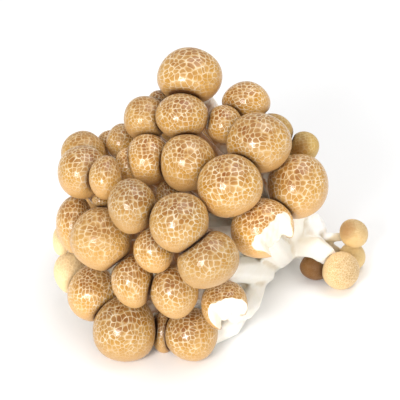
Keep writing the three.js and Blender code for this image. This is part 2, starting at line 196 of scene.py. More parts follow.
capFinish = {
    "spotApex": shade(140, 78, 4),  # the spots on a cap's upper side
    "spotGold": shade(184, 128, 12),  # and lower down
    "base": shade(190, 143, 66),  # skin between the spots
    "baseLight": shade(212, 176, 116),
    "netLine": shade(242, 222, 190),
    "rim": shade(192, 142, 70),
    "rimPale": shade(214, 172, 114),
    "pale": shade(242, 212, 160),  # young caps
    "olive": shade(192, 170, 96),
    "creaseShade": shade(78, 38, 8),  # painted shade where caps press on each other
    "gills": shade(240, 228, 200),
    "flesh": shade(248, 242, 224),
    "roughness": 0.42,
    "relief": 0.45,
    "reliefHeight": 0.0006,  # metres
    "grainHeight": 0.15,  # the grain's share of the relief
    # The net. Lengths are in cells, and fades are ways from a cap's darkest place, as shares of
    # the way from the apex to the margin's end. Each pair runs from nothing to the whole.
    "drifts": ((0.25, 1.3), (1.4, 0.18)),  # scale and reach of the net's two drifts
    "disorder": 0.8,  # how far the cells are from rows
    "spotEdge": (0.55, 0.33),  # distance from the middle of a cell
    "spotGap": (0.01, 0.11),  # distance from the cell's side
    "lineEdge": (0.05, 0.0),
    "ridgeEdge": (0.2, 0.0),
    "cornerSwell": 0.09,  # how much wider lines and gaps are at the corners of cells
    "patchSwell": 0.05,  # and in patches
    "spotFade": (0.88, 0.42),
    "lineFade": (0.86, 0.46),
    "ridgeFade": (0.9, 0.5),
    "upperFade": (0.55, 0.14),  # to where spots and skin are darkest
    "rimFade": (0.42, 0.85),  # to where the skin is the rim's
    "coatFrom": (0.55, 0.8),  # shares of net between which the skin gets its wet gloss
}


def makeCapMaterial(finish):
    # Round dark spots stand in the cells of a drifting Voronoi net, with thin pale raised lines
    # between them; both fade to the rim, where the skin is smooth and finely mottled
    material, tree, surface = newMaterial("cap_skin", {
        "Specular IOR Level": 0.38,
        "Coat Roughness": 0.15,
        "Sheen Weight": 0.05,
        "Sheen Roughness": 0.3,
    })
    net = addNode(tree, "ShaderNodeUVMap", {"uv_map": "net"})
    away, flesh, under = readLayer(tree, "place")
    netShare, pale, olive = readLayer(tree, "mood")
    light, creaseShade, darkPatch = readLayer(tree, "tone")

    # The net's coordinates drift, so that some cells are larger and their sides aren't ruled
    spot = net
    for scale, reach in finish["drifts"]:
        drift = addNoise(tree, net, scale, 0.0, output="Color")
        push = addNode(tree, "ShaderNodeVectorMath", {"operation": "MULTIPLY_ADD"},
                       {0: drift, 1: (reach, reach, 0), 2: (-reach / 2, -reach / 2, 0)})
        spot = addNode(tree, "ShaderNodeVectorMath", {"operation": "ADD"}, {0: spot, 1: push})

    cells = {"Vector": spot, "Scale": 1.0, "Randomness": finish["disorder"]}
    flat = {"voronoi_dimensions": "2D"}
    edge = addNode(tree, "ShaderNodeTexVoronoi", {**flat, "feature": "DISTANCE_TO_EDGE"}, cells)
    centre = addNode(tree, "ShaderNodeTexVoronoi", {**flat, "feature": "F1"}, cells)
    chance = addNode(tree, "ShaderNodeTexVoronoi", {**flat, "feature": "F1"}, cells, output=1)
    luck = addNode(tree, "ShaderNodeSeparateColor", None, {0: chance}, output=0)
    grain = addNoise(tree, net, 5.0, 3.0)
    haze = addNoise(tree, net, 0.45, 2.0).ramp(0.35, 0.65)
    patch = addNoise(tree, spot, 0.75, 2.0).ramp(0.36, 0.64)

    # Lines swell at the corners of the cells and in patches, so that the spots are round
    corner = centre.ramp(0.32, 0.75) * finish["cornerSwell"]
    size = luck * 0.16 - patch * 0.1
    disc = (centre - size).ramp(*finish["spotEdge"])
    inner = (edge - patch * (0.9 * finish["patchSwell"]) - corner).ramp(*finish["spotGap"])
    spots = disc * inner * netShare * away.ramp(*finish["spotFade"])
    spots = spots * (0.65 + 0.35 * luck) * (1 - 0.3 * haze)
    line = (edge - patch * finish["patchSwell"] - corner).ramp(*finish["lineEdge"])
    line = line * (0.4 + 0.6 * luck) * (0.5 + 0.5 * haze)
    line = line * netShare * away.ramp(*finish["lineFade"])
    relief = edge.ramp(*finish["ridgeEdge"]) * netShare * away.ramp(*finish["ridgeFade"])

    upper = away.ramp(*finish["upperFade"])
    spotColour = mixColour(tree, upper, finish["spotGold"], finish["spotApex"])
    spotColour = mixColour(tree, pale * 0.8, spotColour, finish["rim"])
    mottle = grain.ramp(0.3, 0.7) * 0.5 + haze * 0.5
    skin = mixColour(tree, mottle, finish["base"], finish["baseLight"])
    rimColour = mixColour(tree, grain.ramp(0.35, 0.65), finish["rim"], finish["rimPale"])
    skin = mixColour(tree, away.ramp(*finish["rimFade"]), skin, rimColour)
    skin = mixColour(tree, upper * 0.4, skin, finish["rim"])
    skin = mixColour(tree, pale, skin, finish["pale"])
    skin = mixColour(tree, olive, skin, finish["olive"])
    skin = mixColour(tree, spots, skin, spotColour)
    skin = mixColour(tree, line, skin, finish["netLine"])
    # A dark patch on some caps, and painted shade all over cap_41
    skin = mixColour(tree, darkPatch * (0.5 + 0.5 * grain), skin, finish["spotApex"])
    # Painted shade: the skin is darkened in the creases where caps press together
    skin = mixColour(tree, creaseShade, skin, finish["creaseShade"])
    # Brightness: darker round each cap's darkest place, and per cap partly painted light and shade
    lit = addNode(tree, "ShaderNodeHueSaturation", None, {"Color": skin, "Value": light})

    gillColour = mixColour(tree, grain * 0.4, finish["gills"], finish["rimPale"])
    colour = mixColour(tree, under, lit, gillColour)
    fleshColour = mixColour(tree, grain * 0.25, finish["flesh"], finish["gills"])
    colour = mixColour(tree, flesh, colour, fleshColour)
    tree.links.new(colour.socket, surface.inputs["Base Color"])

    bare = (1 - flesh) * (1 - under)
    height = relief * bare + grain * finish["grainHeight"]
    bump = addNode(tree, "ShaderNodeBump", None, {
        "Strength": finish["relief"], "Distance": finish["reliefHeight"], "Height": height})
    tree.links.new(bump.socket, surface.inputs["Normal"])
    rough = finish["roughness"] + (1 - bare) * 0.25 + grain * 0.1 - line * 0.1
    tree.links.new(rough.socket, surface.inputs["Roughness"])
    gloss = bare * netShare.ramp(*finish["coatFrom"]) * (0.5 + 0.4 * relief)
    tree.links.new(gloss.socket, surface.inputs["Coat Weight"])
    return material


stemFinish = {
    "flesh": shade(255, 251, 242),
    "shade": shade(244, 238, 222),
    "snapLight": shade(255, 253, 248),  # painted light: the snapped stem painted whiter
    "hollowShade": shade(204, 182, 140),  # painted shade where stems meet
    "inner": shade(188, 130, 70),  # painted shade deep between the caps, brown as from light bounced off them
    "cutEnd": shade(214, 196, 160),
    "fibreScale": 90,
    "cloudScale": 120,
    "roughness": 0.5,
    "relief": 0.25,
    "reliefHeight": 0.0005,  # metres
    "growth": (-0.6, -0.5, 0.6),  # the way that the stems grow from their base
    "knifeDepth": 9,  # millimetres from the middle of the base back to the cut
    "cutBlend": 2,  # millimetres over which the cut's colour runs out
}


def makeStemMaterial(finish):
    # Fibres are noise on the directions from the base, so they run along the stems; clouds are
    # noise on the place itself. The cut end has a colour of its own; hollows and flesh deep
    # between the caps get painted shade, and the snapped stem painted light.
    material, tree, surface = newMaterial("stem_flesh", {
        "Roughness": finish["roughness"],
        "Subsurface Weight": 0.15,
        "Subsurface Radius": (1.0, 0.8, 0.6),
        "Subsurface Scale": 0.0015,
    })
    place = addNode(tree, "ShaderNodeTexCoord", output="Object")
    fromBase = addNode(tree, "ShaderNodeVectorMath", {"operation": "SUBTRACT"},
                       {0: place, 1: tuple((cutBase + bunchShift) * mm)})
    ray = addNode(tree, "ShaderNodeVectorMath", {"operation": "NORMALIZE"}, {0: fromBase})
    fibre = addNoise(tree, ray, finish["fibreScale"], 3.0, "3D")
    cloud = addNoise(tree, place, finish["cloudScale"], 2.0, "3D")
    growth = Vector(finish["growth"]).normalized()
    depth = addNode(tree, "ShaderNodeVectorMath", {"operation": "DOT_PRODUCT"},
                    {0: fromBase, 1: growth}, output="Value")
    end = depth.ramp((finish["cutBlend"] - finish["knifeDepth"]) * mm, -finish["knifeDepth"] * mm)
    tone = fibre.ramp(0.35, 0.7) * 0.35 + cloud.ramp(0.4, 0.75) * 0.3
    colour = mixColour(tree, tone, finish["flesh"], finish["shade"])
    colour = mixColour(tree, end * 0.7, colour, finish["cutEnd"])
    deepShade, hollowShade, snapLight = readLayer(tree, "tone")
    # Painted light: the snapped stem is painted whiter than the other stems
    colour = mixColour(tree, snapLight, colour, finish["snapLight"])
    # Painted shade in the hollows where stems meet, and a painted shadow round the snapped stem
    colour = mixColour(tree, hollowShade * 0.55, colour, finish["hollowShade"])
    # Painted shade, brown as light bounced off the caps, on flesh deep between them
    colour = mixColour(tree, deepShade, colour, finish["inner"])
    tree.links.new(colour.socket, surface.inputs["Base Color"])
    bump = addNode(tree, "ShaderNodeBump", None, {
        "Strength": finish["relief"], "Distance": finish["reliefHeight"],
        "Height": fibre + cloud * 0.5})
    tree.links.new(bump.socket, surface.inputs["Normal"])
    return material


tableForm = {
    "half": 3.0,  # half its side, in metres
    "tone": 0.93,
    "roughness": 0.6,
}


def makeTable(form):
    material = newMaterial("pale_table", {
        "Base Color": (form["tone"], form["tone"], form["tone"], 1),
        "Roughness": form["roughness"],
    })[0]
    half = form["half"]
    mesh = bpy.data.meshes.new("table")
    corners = [(-half, -half, 0), (half, -half, 0), (half, half, 0), (-half, half, 0)]
    mesh.from_pydata(corners, [], [(0, 1, 2, 3)])
    mesh.materials.append(material)
    floor = bpy.data.objects.new("table", mesh)
    scene.collection.objects.link(floor)


makeTable(tableForm)
capMaterial = makeCapMaterial(capFinish)
stemMaterial = makeStemMaterial(stemFinish)
print("camera, light and materials made")

# at: middle of the widest ring, as [across the face, up the face, out of the face].
# size: width and height that the cap shows on the face; turn: slant of that oval, in degrees.
# lean: how far the crown is turned to the right and upwards from facing straight out.
# torn: the broken face's bearing, in degrees from straight right, its distance from the cap's
# axis, how much it bends back at its sides, its slope, and its further slope at either end.
# egg: bearing towards which the cap narrows, and how much.
faceCaps = {
    "cap_01": {"at": (1.9, 99.4, 1.5), "size": (23.5, 20.5), "turn": 0, "lean": (-0.1, 0.35),
               "egg": (80, 0.08)},
    "cap_02": {"at": (-1, 84, 9), "size": (19, 17), "turn": 0, "lean": (-0.05, 0.3)},
    "cap_03": {"at": (-14, 84, 1.5), "size": (16, 16.2), "turn": 0, "lean": (0.05, 0.45)},
    "cap_04": {"at": (-9, 90.5, -5.5), "size": (9.5, 8.5), "turn": 0, "lean": (0.1, 0.4)},
    "cap_05": {"at": (-23, 76, -8), "size": (12, 13.6), "turn": 0, "lean": (0.2, 0.4)},
    "cap_06": {"at": (-28, 75.8, -14), "size": (9.4, 9.8), "turn": 0, "lean": (0.1, 0.4)},
    "cap_07": {"at": (-37, 71.5, -6), "size": (16.5, 17), "turn": 0, "lean": (0.05, 0.5)},
    "cap_08": {"at": (-36.4, 64.6, 6.6), "size": (17.6, 19), "turn": -10, "lean": (0.15, 0.45)},
    "cap_09": {"at": (-27.5, 62.5, 16), "size": (11.5, 15.5), "turn": 0, "lean": (0.15, 0.5),
               "egg": (80, 0.08)},
    "cap_10": {"at": (-19.6, 67.2, 6), "size": (10.6, 12.6), "turn": 0, "lean": (0.1, 0.4)},
    "cap_11": {"at": (-12.8, 69, 8.5), "size": (16.4, 18.3), "turn": 0, "lean": (0.15, 0.35)},
    "cap_12": {"at": (1, 67.5, 15), "size": (19.5, 20.3), "turn": 0, "lean": (0, 0.4),
               "egg": (250, 0.12)},
    "cap_13": {"at": (-18, 52.5, 25), "size": (16.5, 19), "turn": 0, "lean": (0.1, 0.4),
               "egg": (250, 0.06)},
    "cap_14": {"at": (-1.5, 47, 31), "size": (20.5, 20.5), "turn": 20, "lean": (-0.05, 0.4)},
    "cap_15": {"at": (-6, 56.5, 10.5), "size": (8.5, 10), "turn": 0, "lean": (0, 0.4)},
    "cap_16": {"at": (-39.5, 46, 1.5), "size": (13.5, 21), "turn": 0, "lean": (0.1, 0.4)},
    "cap_17": {"at": (-29, 41, 14.5), "size": (21.5, 22.5), "turn": 10, "lean": (0, 0.4),
               "egg": (300, 0.06)},
    "cap_18": {"at": (-45, 40, -6), "size": (6.5, 11), "turn": 0, "lean": (0.1, 0.4)},
    "cap_19": {"at": (-29.5, 54.5, 10), "size": (6.5, 5.5), "turn": 0, "lean": (0.1, 0.4)},
    "cap_20": {"at": (-42.7, 28, -13), "size": (12, 15.5), "turn": 0, "lean": (0.1, 0.5)},
    "cap_21": {"at": (-33.3, 21, -4), "size": (19, 20.5), "turn": 0, "lean": (0.1, 0.45),
               "egg": (110, 0.05)},
    "cap_22": {"at": (-21.5, 9, 4), "size": (22.5, 23.7), "turn": 0, "lean": (-0.05, 0.4),
               "egg": (80, 0.06)},
    "cap_23": {"at": (-18, 26.5, 15.5), "size": (15, 19), "turn": 10, "lean": (-0.05, 0.4)},
    "cap_24": {"at": (-10.5, 37.5, 23), "size": (14, 16), "turn": 10, "lean": (-0.1, 0.4)},
    "cap_25": {"at": (8, 34.5, 30), "size": (21.5, 19), "turn": 35, "lean": (-0.15, 0.45)},
    "cap_26": {"at": (-3.5, 23, 17.5), "size": (17, 19), "turn": 15, "lean": (-0.1, 0.4)},
    "cap_27": {"at": (2.4, 7, 4.5), "size": (19, 19), "turn": -20, "lean": (-0.3, 0.25),
               "egg": (60, 0.08)},
    "cap_28": {"at": (-7.5, 7, -0.5), "size": (9.5, 15), "turn": 0, "lean": (0, 0.4)},
    "cap_29": {"at": (14, 18, 15), "size": (16.5, 17.5), "turn": 20, "lean": (-0.2, 0.45),
               "torn": {"bearing": 288, "reach": 0.18, "bend": 0, "slope": 0.2,
                        "ends": (0.8, 0)}},
    "cap_30": {"at": (15.5, 59.5, 25), "size": (22.5, 21.8), "turn": 0, "lean": (-0.15, 0.35),
               "egg": (255, 0.07)},
    "cap_31": {"at": (26, 74.5, 16), "size": (22.5, 21), "turn": -20, "lean": (-0.25, 0.3)},
    "cap_32": {"at": (40, 59.5, 9), "size": (21.5, 23), "turn": 0, "lean": (-0.3, 0.3)},
    "cap_33": {"at": (22, 90.3, 0), "size": (17.5, 14.2), "turn": -10, "lean": (-0.4, 0.2),
               "egg": (190, 0.08)},
    "cap_34": {"at": (14, 81.5, 7), "size": (13, 14), "turn": 10, "lean": (-0.2, 0.3)},
    "cap_35": {"at": (42.6, 73.8, -0.5), "size": (11.5, 11.3), "turn": 0, "lean": (-0.4, 0.1)},
    "cap_36": {"at": (31.5, 78, -1), "size": (15.5, 16), "turn": 0, "lean": (-0.2, 0.3)},
    "cap_37": {"at": (27, 45, 16), "size": (22.5, 21), "turn": 15, "lean": (-0.2, 0.4),
               "torn": {"bearing": 315, "reach": 0.43, "bend": 0.5, "slope": 0.1,
                        "ends": (0.9, 0.9)}},
    "cap_38": {"at": (58.5, 28, -24), "size": (14.5, 14.5), "turn": 0, "lean": (0.4, -0.3)},
    "cap_39": {"at": (64, 42, -28), "size": (11, 11), "turn": 0, "lean": (0.55, 0.35)},
    "cap_40": {"at": (64, 33, -34), "size": (10.5, 11), "turn": 0, "lean": (0.55, 0.1)},
    "cap_41": {"at": (49.5, 29.3, -29.5), "size": (12, 10.5), "turn": 0, "lean": (0.3, -0.2)},
}

# The far side. at: middle of the widest ring in X, Y and Z; size: width of the cap.
backCaps = {
    "cap_42": {"at": (-32, 62, 9.2), "size": 19},
    "cap_43": {"at": (-12, 76, 10.2), "size": 21},
    "cap_44": {"at": (10, 84, 9.2), "size": 19},
    "cap_45": {"at": (-36, 58, 27), "size": 17},
    "cap_46": {"at": (-22, 74, 29), "size": 20},
    "cap_47": {"at": (0, 85, 28), "size": 18},
    "cap_48": {"at": (21, 83, 25), "size": 17},
    "cap_49": {"at": (35, 80, 8.2), "size": 17},
    "cap_50": {"at": (-8, 76, 46), "size": 18},
    "cap_51": {"at": (13, 79, 43), "size": 16},
    "cap_52": {"at": (31, 72, 42), "size": 15},
    "cap_53": {"at": (43, 75, 24), "size": 17},
}

# A cap of unit radius: lengths are fractions of that radius, where nothing else is said
capForm = {
    "crownHeight": 0.92,  # apex above the widest ring
    "marginDrop": 0.5,  # lowest edge of the margin below the widest ring
    "marginWidth": 0.25,  # how far the margin curls in under the cap
    "lip": 0.09,  # the rolled edge's own thickness
    "socketRadius": 0.46,  # flat flesh in the middle of the underside
    "socketHeight": -0.2,
    "gillCount": 40,
    "gillDepth": 0.03,
    "lumps": 0.012,  # unevenness of the crown
    "crownRings": 20,
    "marginRings": 10,
    "marginWay": 0.42,  # the margin's share of the skin's way, where the crown's is 1
    "lipWay": 0.1,  # and the lip's
    "sides": {"small": 120, "large": 160, "torn": 240},  # points on each ring
    "smallRadius": 5.5,  # millimetres, up to which a cap is small
    "tornFineness": 3,  # a torn cap has this many times the rings
    "backLift": 0.15,  # how much the far caps' crowns are turned up
    "nearby": (1.3, 4),  # times both radii, plus millimetres: caps further apart can't touch
    "contactGap": 0.15,  # millimetres between caps that press on each other
    "contactSoftness": 0.5,  # millimetres over which a pressed flat runs out
    "contactRounds": 12,
    "creaseShadeWidth": 0.75,  # millimetres beside a pressed flat that get painted shade
    "tearTop": 0.75,  # below this height a broken face slopes outwards
    "tearEnds": (0.3, 0.65),  # aside of the middle, between these, it starts to slope more
    "tearFlare": 0.08,  # how much of its old overhang the broken part still has
    "tearHem": 0.25,  # how much of its old drop below the socket it still has
    "tearEdge": 0.035,  # over this depth, skin gives way to bare flesh
}
quarter = math.pi / 2  # of a turn
skinWay = quarter * (1 + capForm["marginWay"])  # from the apex to the margin's end
faceSlope = math.radians(38)  # how steeply the face of caps looks up
acrossFace = np.array([1.0, 0.0, 0.0])
upFace = np.array([0.0, math.sin(faceSlope), math.cos(faceSlope)])
outOfFace = np.array([0.0, -math.cos(faceSlope), math.sin(faceSlope)])
faceAxes = np.stack([acrossFace, upFace, outOfFace])


def unitSection(form, crownSteps, marginSteps, lipSteps=4, gillSteps=8):
    # Half-section from just off the apex to just off the middle of the socket. Crown: quarter
    # ellipse. Margin: quarter ellipse curling in. Lip: quarter circle. Gills: quarter ellipse
    # up to the socket. Returns radius, height, way along the skin from the apex in radians,
    # how strongly the gills ripple (root of the sine of twice their angle), share of underside.
    crown, margin, lip, gills = (
        np.linspace(0, quarter, steps + 1)[1:]
        for steps in (crownSteps, marginSteps, lipSteps, gillSteps))
    lipRadius = 1 - form["marginWidth"] - form["lip"]
    lipHeight = form["lip"] - form["marginDrop"]
    socket = form["socketRadius"]
    radius = np.concatenate([
        np.sin(crown),
        1 - form["marginWidth"] * (1 - np.cos(margin)),
        1 - form["marginWidth"] - form["lip"] * np.sin(lip),
        socket + (lipRadius - socket) * np.cos(gills),
        [socket * 0.5],
    ])
    height = np.concatenate([
        form["crownHeight"] * np.cos(crown),
        -form["marginDrop"] * np.sin(margin),
        lipHeight - form["lip"] * np.cos(lip),
        lipHeight + (form["socketHeight"] - lipHeight) * np.sin(gills),
        [form["socketHeight"]],
    ])
    way = np.concatenate([
        crown,
        quarter + margin * form["marginWay"],
        skinWay + lip * form["lipWay"],
        np.full(gillSteps + 1, skinWay + quarter * form["lipWay"]),
    ])
    gillShare = np.concatenate([
        np.zeros(crownSteps + marginSteps + lipSteps - 1),
        [0.4],
        np.sin(2 * gills[:-1]) ** 0.5,
        [0.0, 0.0],
    ])
    underShare = np.concatenate([
        np.zeros(crownSteps + marginSteps),
        np.linspace(0, 1, lipSteps + 1)[1:],
        np.ones(gillSteps + 1),
    ])
    return radius, height, way, gillShare, underShare


def turnTo(axis):
    # The shortest turn that takes +Z to axis, as a matrix for row vectors
    turn = Vector((0, 0, 1)).rotation_difference(Vector(axis)).to_matrix()
    return np.array(turn).T


def unitCap(form, sides, seed, fine=1):
    # Grid of a cap of unit radius about +Z. Each ring of the half-section is carried round the
    # axis, its radius times 1 + lumps * (three sines of the bearing) * sin(way)^2, and the
    # gills' height gets a cosine of gillCount times the bearing.
    radius, height, way, gillShare, underShare = unitSection(
        form, form["crownRings"] * fine, form["marginRings"] * fine)
    bearing = np.arange(sides) * 2 * math.pi / sides
    draw = np.random.default_rng(seed)
    phases = draw.uniform(0, 2 * math.pi, 4)
    wave = sum(np.sin((k + 2) * bearing[None, :] + phases[k]) for k in range(3))
    swell = 1 + form["lumps"] * wave * np.sin(np.minimum(way, quarter))[:, None] ** 2
    ripple = form["gillDepth"] * np.cos(form["gillCount"] * bearing)[None, :] * gillShare[:, None]
    x = radius[:, None] * swell * np.cos(bearing)[None, :]
    y = radius[:, None] * swell * np.sin(bearing)[None, :]
    z = height[:, None] + ripple
    rings = np.stack([x, y, z], axis=-1).reshape(-1, 3)
    points = np.vstack([[(0, 0, form["crownHeight"])], rings, [(0, 0, form["socketHeight"])]])
    count = len(radius)
    wayOf = np.concatenate([[0], np.repeat(way, sides), [way[-1]]])
    underOf = np.concatenate([[0], np.repeat(underShare, sides), [1]])
    bearingOf = np.concatenate([[0], np.tile(bearing, count), [0]])
    return points, wayOf, underOf, bearingOf, count


def gridFaces(rings, sides):
    # Quads between the rings and triangles at the two poles, all facing outwards
    start = 1 + np.arange(rings)[:, None] * sides + np.arange(sides)[None, :]
    after = np.roll(start, -1, axis=1)
    quads = np.stack([start[:-1], start[1:], after[1:], after[:-1]], axis=-1).reshape(-1, 4)
    last = 1 + rings * sides
    top = np.stack([np.zeros(sides, int), start[0], after[0]], axis=-1)
    bottom = np.stack([np.full(sides, last), after[-1], start[-1]], axis=-1)
    return top, quads, bottom


def putMesh(name, points, top, quads, bottom, material):
    # Points in millimetres; the poles' triangles and the quads go in as whole arrays
    mesh = bpy.data.meshes.new(name)
    loops = np.concatenate([top.ravel(), quads.ravel(), bottom.ravel()])
    sizes = np.concatenate([np.full(len(top), 3), np.full(len(quads), 4), np.full(len(bottom), 3)])
    starts = np.concatenate([[0], np.cumsum(sizes)[:-1]])
    mesh.vertices.add(len(points))
    mesh.vertices.foreach_set("co", (points * mm).astype(np.float32).ravel())
    mesh.loops.add(len(loops))
    mesh.loops.foreach_set("vertex_index", loops.astype(np.int32))
    mesh.polygons.add(len(sizes))
    mesh.polygons.foreach_set("loop_start", starts.astype(np.int32))
    mesh.update(calc_edges=True)
    mesh.shade_smooth()
    mesh.materials.append(material)
    piece = bpy.data.objects.new(name, mesh)
    scene.collection.objects.link(piece)
    return piece, loops


def setLayer(piece, name, values):
    # Three numbers for each point, which the material reads under this name
    layer = piece.data.attributes.new(name, "FLOAT_VECTOR", "POINT")
    layer.data.foreach_set("vector", values.astype(np.float32).ravel())


def ovalStretch(points, wide, tall, width, height):
    # What makes a cap span its width and height on the face: along each of the three axes, a
    # point's distance from the middle is multiplied by the wanted size over the present span
    across = points @ wide
    up = points @ tall
    axes = np.stack([wide, tall, outOfFace])
    spans = np.array([np.ptp(across), np.ptp(up), 2.0])
    sizes = np.array([width, height, (width + height) / 2])
    middle = np.array([(across.max() + across.min()) / 2, (up.max() + up.min()) / 2, 0])
    return axes, spans, sizes, middle


def smoothStep(values, low, high):
    # share^2 * (3 - 2 * share), with share 0 at low and 1 at high; low may be the greater one
    share = np.clip((values - low) / (high - low), 0, 1)
    return share * share * (3 - 2 * share)


def tearAway(points, axis, torn, form, seed):
    # Points beyond the broken face are drawn back to it, and up to the socket's height. Out
    # along the bearing, the face stands at reach - bend * aside^2 + slope * (tearTop - height),
    # with shallow waves. Returns the points and the share of bare flesh.
    angle = math.radians(torn["bearing"])
    way = np.array([math.cos(angle), math.sin(angle), 0]) @ faceAxes
    way = way - axis * (way @ axis)
    way /= np.linalg.norm(way)
    out, aside, height = points @ way, points @ np.cross(axis, way), points @ axis
    left, right = torn["ends"]
    end = smoothStep(np.abs(aside), *form["tearEnds"]) * np.where(aside < 0, left, right)
    drop = np.maximum(form["tearTop"] - height, 0)
    face = torn["reach"] - torn["bend"] * aside ** 2 + (torn["slope"] + end) * drop
    face = face + 0.022 * np.sin(8 * aside + seed) + 0.014 * np.sin(21 * aside + 2 * height)
    face = face + 0.01 * np.sin(17 * height + seed) * drop
    beyond = out - face
    flesh = smoothStep(beyond, 0, form["tearEdge"])
    lumps = 0.012 * np.sin(19 * aside + 3 * height + seed) * np.sin(16 * height - 5 * aside)
    back = (form["tearFlare"] - 1) * np.maximum(beyond, 0) + lumps * flesh
    lift = (1 - form["tearHem"]) * np.maximum(form["socketHeight"] - height, 0) * flesh
    return points + back[:, None] * way + lift[:, None] * axis, flesh


def narrowCap(points, bearing, taper, radius):
    # Like an egg: a point's distance from the bearing's line is multiplied by
    # 1 - taper * (its way along the bearing) / radius
    angle = math.radians(bearing)
    way = np.array([math.cos(angle), math.sin(angle), 0]) @ faceAxes
    along = points @ way
    aside = points - along[:, None] * way
    return points - aside * (taper * along / radius)[:, None]


def shapeCaps(form):
    caps = []
    for order, (name, row) in enumerate({**faceCaps, **backCaps}.items()):
        isFace = name in faceCaps
        size = row["size"] if isFace else (row["size"], row["size"])
        radius = sum(size) / 4
        kind = "torn" if "torn" in row else "large" if radius > form["smallRadius"] else "small"
        sides = form["sides"][kind]
        fine = form["tornFineness"] if kind == "torn" else 1
        points, way, under, bearing, rings = unitCap(form, sides, order, fine)
        flesh = np.zeros(len(points))
        if isFace:
            right, upwards = row["lean"]
            out = math.sqrt(1 - right * right - upwards * upwards)
            axis = np.array([right, upwards, out]) @ faceAxes
            centre = np.array(row["at"]) @ faceAxes
            slant = math.radians(row["turn"])
            wide = np.array([math.cos(slant), math.sin(slant), 0]) @ faceAxes
            tall = np.array([-math.sin(slant), math.cos(slant), 0]) @ faceAxes
            points = points @ turnTo(axis)
            axes, spans, sizes, middle = ovalStretch(points, wide, tall, *size)
            if kind == "torn":
                points, flesh = tearAway(points, axis, row["torn"], form, order)
            points = ((points @ axes.T - middle) * (sizes / spans)) @ axes
            if "egg" in row:
                points = narrowCap(points, *row["egg"], radius)
            points = points + centre
        else:
            centre = np.array(row["at"], float)
            axis = centre - cutBase
            axis /= np.linalg.norm(axis)
            axis[2] += form["backLift"]
            axis /= np.linalg.norm(axis)
            points = points @ turnTo(axis) * radius + centre
        caps.append({
            "name": name, "points": points, "centre": centre, "radius": radius, "way": way,
            "under": under, "bearing": bearing, "flesh": flesh, "rings": rings, "sides": sides,
            "axis": axis, "order": order, "planes": [(np.array([0.0, 0.0, -1.0]), 0.0)],
        })
    return caps


def pressCaps(caps, form):
    # Caps that would overlap get a plane between them, halfway through the overlap, and each
    # point beyond a plane goes back to it. Near a plane a point is pushed back by half of
    # excess + root of (excess^2 + softness^2), times e^(excess / softness) short of the plane.
    gap = form["contactGap"]
    share, spare = form["nearby"]
    for index, first in enumerate(caps):
        for second in caps[index + 1:]:
            way = second["centre"] - first["centre"]
            distance = np.linalg.norm(way)
            if distance > share * (first["radius"] + second["radius"]) + spare:
                continue
            way = way / distance
            firstReach = ((first["points"] - first["centre"]) @ way).max()
            secondReach = ((second["points"] - second["centre"]) @ -way).max()
            overlap = firstReach + secondReach + gap - distance
            if overlap > 0:
                middle = first["centre"] @ way + firstReach + gap / 2 - overlap / 2
                first["planes"].append((way, middle - gap / 2))
                second["planes"].append((-way, -middle - gap / 2))
    soft = form["contactSoftness"]
    for cap in caps:
        points = cap["points"]
        # Painted shade: points close to a pressed flat get a share of the dark crease colour
        creaseShade = np.zeros(len(points))
        for normal, limit in cap["planes"][1:]:
            below = limit - points @ normal
            creaseShade = np.maximum(creaseShade, np.exp(-np.maximum(below, 0) / form["creaseShadeWidth"]))
        cap["creaseShade"] = creaseShade
        for normal, limit in cap["planes"]:
            excess = points @ normal - limit
            push = (excess + np.sqrt(excess * excess + soft * soft)) / 2
            points = points - (push * np.exp(np.minimum(excess, 0) / soft))[:, None] * normal
        for turn in range(form["contactRounds"]):
            for normal, limit in cap["planes"]:
                excess = np.maximum(points @ normal - limit, 0)
                points = points - excess[:, None] * normal
        cap["points"] = points


# Caps that differ. net: how much of the net shows; pale, olive: shares of those colours;
# light: brightness, partly the cap's own tone and partly painted light and shade, as on cap_10
# and cap_41; cell: size of the net's cells; stain: lean of a dark patch's middle; shadeAll:
# painted shade, a share of the dark patch's colour all over.
usualMood = {"net": 1.0, "pale": 0.0, "olive": 0.0, "light": 1.0, "cell": 1.0}
moods = {
    "cap_01": {"net": 0.85, "cell": 1.15, "light": 1.04},
    "cap_03": {"net": 0.75},
    "cap_05": {"net": 0.8, "light": 0.98},
    "cap_06": {"light": 1.1},
    "cap_07": {"net": 0.65, "light": 0.97},
    "cap_08": {"net": 0.9},
    "cap_09": {"net": 0.85},
    # painted light: cap_10 lies in shade behind cap_09 and is brightened
    "cap_10": {"light": 1.35},
    "cap_11": {"light": 1.12},
    "cap_12": {"net": 0.9, "light": 1.04},
    "cap_13": {"net": 0.95, "light": 0.82},
    "cap_14": {"light": 0.9},
    "cap_16": {"net": 0.9, "light": 1.15},
    "cap_17": {"net": 0.7},
    "cap_18": {"net": 0.3, "pale": 1.0, "light": 1.12},
    "cap_20": {"net": 0.3, "pale": 1.0, "light": 1.12},
    "cap_21": {"cell": 0.9, "light": 1.18},
    "cap_22": {"cell": 0.95, "light": 0.93},
    "cap_23": {"light": 1.04},
    "cap_24": {"light": 1.05},
    "cap_25": {"net": 0.8, "light": 0.84},
    "cap_26": {"light": 1.02},
    "cap_27": {"light": 1.03},
    "cap_29": {"cell": 0.85, "light": 1.05},
    "cap_31": {"light": 0.97},
    "cap_32": {"net": 0.85, "light": 1.04},
    "cap_33": {"light": 1.06},
    "cap_34": {"light": 1.06},
    "cap_35": {"net": 0.35, "olive": 0.5, "darkPatch": (-0.4, -0.1)},
    "cap_36": {"net": 0.5, "olive": 0.3},
    "cap_37": {"cell": 0.85, "light": 1.25},
    "cap_38": {"net": 0.6, "pale": 0.7, "cell": 0.6, "light": 1.06},
    "cap_39": {"net": 0.6, "pale": 0.6, "olive": 0.25, "cell": 0.5, "light": 1.12,
               "darkPatch": (-0.6, 0.35)},
    "cap_40": {"net": 0.1, "pale": 0.7, "olive": 0.3, "light": 1.14},
    # painted shade: cap_41 lies in shade under the stems of the small mushrooms and is darkened
    # all over
    "cap_41": {"net": 0.4, "light": 0.62, "cell": 0.5, "shadeAll": 0.9},
}

